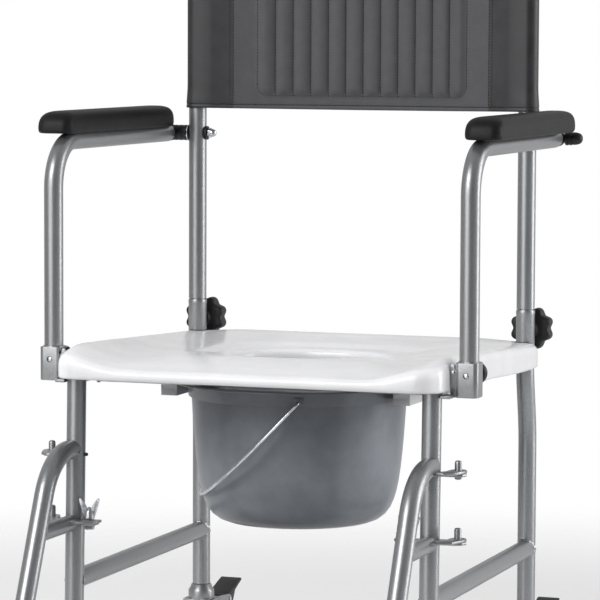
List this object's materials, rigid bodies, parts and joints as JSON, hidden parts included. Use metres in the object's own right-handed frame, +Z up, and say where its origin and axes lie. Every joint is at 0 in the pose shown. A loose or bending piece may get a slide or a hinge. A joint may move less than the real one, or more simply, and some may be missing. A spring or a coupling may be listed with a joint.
{
  "type": "commode wheelchair",
  "caption": "Attendant-pushed commode chair: tube frame on swivel castors, moulded seat with slide-out pail, flip-up arms, sling back, swing-away leg rests.",
  "frame": {"origin": "middle of the object's box at the floor", "axes": "+Z up, -Y towards the sitter's feet, +X towards the sitter's left hand"},
  "size_m": [0.568, 0.9, 1.0105],
  "materials": {
    "silver_paint": "satin",
    "bright_steel": "satin",
    "white_plastic": "gloss",
    "grey_plastic": "satin",
    "black_plastic": "matte",
    "black_foam": "satin",
    "grey_cloth": "matte",
    "grey_rubber": "matte"
  },
  "bodies": {
    "frame": {"front_leg_right": "silver_paint", "front_leg_left": "silver_paint", "rear_leg_right": "silver_paint", "rear_leg_left": "silver_paint", "seat_side_tube_right": "silver_paint", "seat_side_tube_left": "silver_paint", "lower_side_rail_right": "silver_paint", "lower_side_rail_left": "silver_paint", "seat_cross_tube_front": "silver_paint", "seat_cross_tube_rear": "silver_paint", "seat": "white_plastic", "arm_tongue_right": "silver_paint", "arm_tongue_left": "silver_paint", "hanger_lug_right": "silver_paint", "hanger_lug_left": "silver_paint", "hanger_bracket_right": "silver_paint", "hanger_bracket_left": "silver_paint"},
    "backrest": {"backrest_sling": "grey_cloth", "back_post_right": "silver_paint", "back_post_left": "silver_paint", "push_grip_right": "black_plastic", "push_grip_left": "black_plastic", "arm_pivot_bolt_right": "black_plastic", "arm_pivot_bolt_left": "black_plastic", "acorn_nut_right": "bright_steel", "acorn_nut_left": "bright_steel"},
    "pail_body": {"pail": "grey_plastic"},
    "bail": {"pail_bail": "bright_steel"},
    "arm_right": {"arm_tube_right": "silver_paint", "arm_pad_right": "black_foam", "arm_knuckle_right": "black_plastic", "arm_shoe_right": "silver_paint"},
    "plunger_right": {"plunger_knob_right": "black_plastic"},
    "clamp_right": {"star_knob_right": "black_plastic"},
    "hanger_right": {"leg_rest_right": "silver_paint"},
    "footrest_right": {"footrest_tube_right": "bright_steel"},
    "plate_right": {"footplate_right": "black_plastic"},
    "nut_right": {"wing_nut_right": "bright_steel"},
    "castor_front_right": {"castor_fork_front_right": "silver_paint"},
    "wheel_front_right": {"castor_wheel_front_right": "grey_rubber"},
    "castor_rear_right": {"castor_fork_rear_right": "silver_paint"},
    "wheel_rear_right": {"castor_wheel_rear_right": "grey_rubber"},
    "pedal_right": {"brake_pedal_rear_right": "black_plastic"},
    "arm_left": {"arm_tube_left": "silver_paint", "arm_pad_left": "black_foam", "arm_knuckle_left": "black_plastic", "arm_shoe_left": "silver_paint"},
    "plunger_left": {"plunger_knob_left": "black_plastic"},
    "clamp_left": {"star_knob_left": "black_plastic"},
    "hanger_left": {"leg_rest_left": "silver_paint"},
    "footrest_left": {"footrest_tube_left": "bright_steel"},
    "plate_left": {"footplate_left": "black_plastic"},
    "nut_left": {"wing_nut_left": "bright_steel"},
    "castor_front_left": {"castor_fork_front_left": "silver_paint"},
    "wheel_front_left": {"castor_wheel_front_left": "grey_rubber"},
    "castor_rear_left": {"castor_fork_rear_left": "silver_paint"},
    "wheel_rear_left": {"castor_wheel_rear_left": "grey_rubber"},
    "pedal_left": {"brake_pedal_rear_left": "black_plastic"}
  },
  "joints": [
    {"name": "backrest_lift", "type": "slide", "parent": "frame", "child": "backrest", "axis": [0, 0, 1], "range_m": [0, 0.08]},
    {"name": "pail_slide", "type": "slide", "parent": "frame", "child": "pail_body", "axis": [0, 1, 0], "range_m": [0, 0.4]},
    {"name": "bail_swing", "type": "hinge", "parent": "pail_body", "child": "bail", "pos_m": [0, 0.08, 0.446], "axis": [-0.3256, 0.9455, 0], "range_deg": [0, 44]},
    {"name": "arm_flip_right", "type": "hinge", "parent": "backrest", "child": "arm_right", "pos_m": [0.2515, 0.3, 0.7395], "axis": [-1, 0, 0], "range_deg": [0, 110]},
    {"name": "plunger_pull_right", "type": "slide", "parent": "arm_right", "child": "plunger_right", "axis": [0, 1, 0], "range_m": [0, 0.01], "stiffness_N_per_m": 600, "springref_m": -0.004},
    {"name": "clamp_turn_right", "type": "hinge", "parent": "frame", "child": "clamp_right", "pos_m": [0.2145, 0.3325, 0.504], "axis": [0, 1, 0], "range_deg": [0, 360]},
    {"name": "leg_rest_swing_right", "type": "hinge", "parent": "frame", "child": "hanger_right", "pos_m": [0.2455, -0.085, 0.3035], "axis": [0, 0, 1], "range_deg": [0, 90]},
    {"name": "footrest_length_right", "type": "slide", "parent": "hanger_right", "child": "footrest_right", "axis": [0, 0.4226, 0.9063], "range_m": [-0.02, 0.05]},
    {"name": "footplate_fold_right", "type": "hinge", "parent": "footrest_right", "child": "plate_right", "pos_m": [0.2165, -0.377, 0.112], "axis": [0, 1, 0], "range_deg": [0, 90]},
    {"name": "wing_nut_turn_right", "type": "hinge", "parent": "frame", "child": "nut_right", "pos_m": [0.193, -0.099, 0.3069], "axis": [0, 0, 1], "range_deg": [0, 360]},
    {"name": "castor_swivel_front_right", "type": "hinge", "parent": "frame", "child": "castor_front_right", "pos_m": [0.2145, -0.09435, 0.165], "axis": [0, 0, 1], "continuous": true},
    {"name": "wheel_spin_front_right", "type": "hinge", "parent": "castor_front_right", "child": "wheel_front_right", "pos_m": [0.2145, -0.05635, 0.0625], "axis": [1, 0, 0], "continuous": true},
    {"name": "castor_swivel_rear_right", "type": "hinge", "parent": "frame", "child": "castor_rear_right", "pos_m": [0.2145, 0.3145, 0.165], "axis": [0, 0, 1], "continuous": true},
    {"name": "wheel_spin_rear_right", "type": "hinge", "parent": "castor_rear_right", "child": "wheel_rear_right", "pos_m": [0.2145, 0.3525, 0.0625], "axis": [1, 0, 0], "continuous": true},
    {"name": "brake_press_right", "type": "hinge", "parent": "castor_rear_right", "child": "pedal_right", "pos_m": [0.2145, 0.367, 0.1365], "axis": [-1, 0, 0], "range_deg": [0, 22]},
    {"name": "arm_flip_left", "type": "hinge", "parent": "backrest", "child": "arm_left", "pos_m": [-0.2515, 0.3, 0.7395], "axis": [-1, 0, 0], "range_deg": [0, 110]},
    {"name": "plunger_pull_left", "type": "slide", "parent": "arm_left", "child": "plunger_left", "axis": [0, 1, 0], "range_m": [0, 0.01], "stiffness_N_per_m": 600, "springref_m": -0.004},
    {"name": "clamp_turn_left", "type": "hinge", "parent": "frame", "child": "clamp_left", "pos_m": [-0.2145, 0.3325, 0.504], "axis": [0, 1, 0], "range_deg": [0, 360]},
    {"name": "leg_rest_swing_left", "type": "hinge", "parent": "frame", "child": "hanger_left", "pos_m": [-0.2455, -0.085, 0.3035], "axis": [0, 0, -1], "range_deg": [0, 90]},
    {"name": "footrest_length_left", "type": "slide", "parent": "hanger_left", "child": "footrest_left", "axis": [0, 0.4226, 0.9063], "range_m": [-0.02, 0.05]},
    {"name": "footplate_fold_left", "type": "hinge", "parent": "footrest_left", "child": "plate_left", "pos_m": [-0.2165, -0.377, 0.112], "axis": [0, -1, 0], "range_deg": [0, 90]},
    {"name": "wing_nut_turn_left", "type": "hinge", "parent": "frame", "child": "nut_left", "pos_m": [-0.193, -0.099, 0.3069], "axis": [0, 0, 1], "range_deg": [0, 360]},
    {"name": "castor_swivel_front_left", "type": "hinge", "parent": "frame", "child": "castor_front_left", "pos_m": [-0.2145, -0.09435, 0.165], "axis": [0, 0, 1], "continuous": true},
    {"name": "wheel_spin_front_left", "type": "hinge", "parent": "castor_front_left", "child": "wheel_front_left", "pos_m": [-0.2145, -0.05635, 0.0625], "axis": [1, 0, 0], "continuous": true},
    {"name": "castor_swivel_rear_left", "type": "hinge", "parent": "frame", "child": "castor_rear_left", "pos_m": [-0.2145, 0.3145, 0.165], "axis": [0, 0, 1], "continuous": true},
    {"name": "wheel_spin_rear_left", "type": "hinge", "parent": "castor_rear_left", "child": "wheel_rear_left", "pos_m": [-0.2145, 0.3525, 0.0625], "axis": [1, 0, 0], "continuous": true},
    {"name": "brake_press_left", "type": "hinge", "parent": "castor_rear_left", "child": "pedal_left", "pos_m": [-0.2145, 0.367, 0.1365], "axis": [-1, 0, 0], "range_deg": [0, 22]}
  ]
}
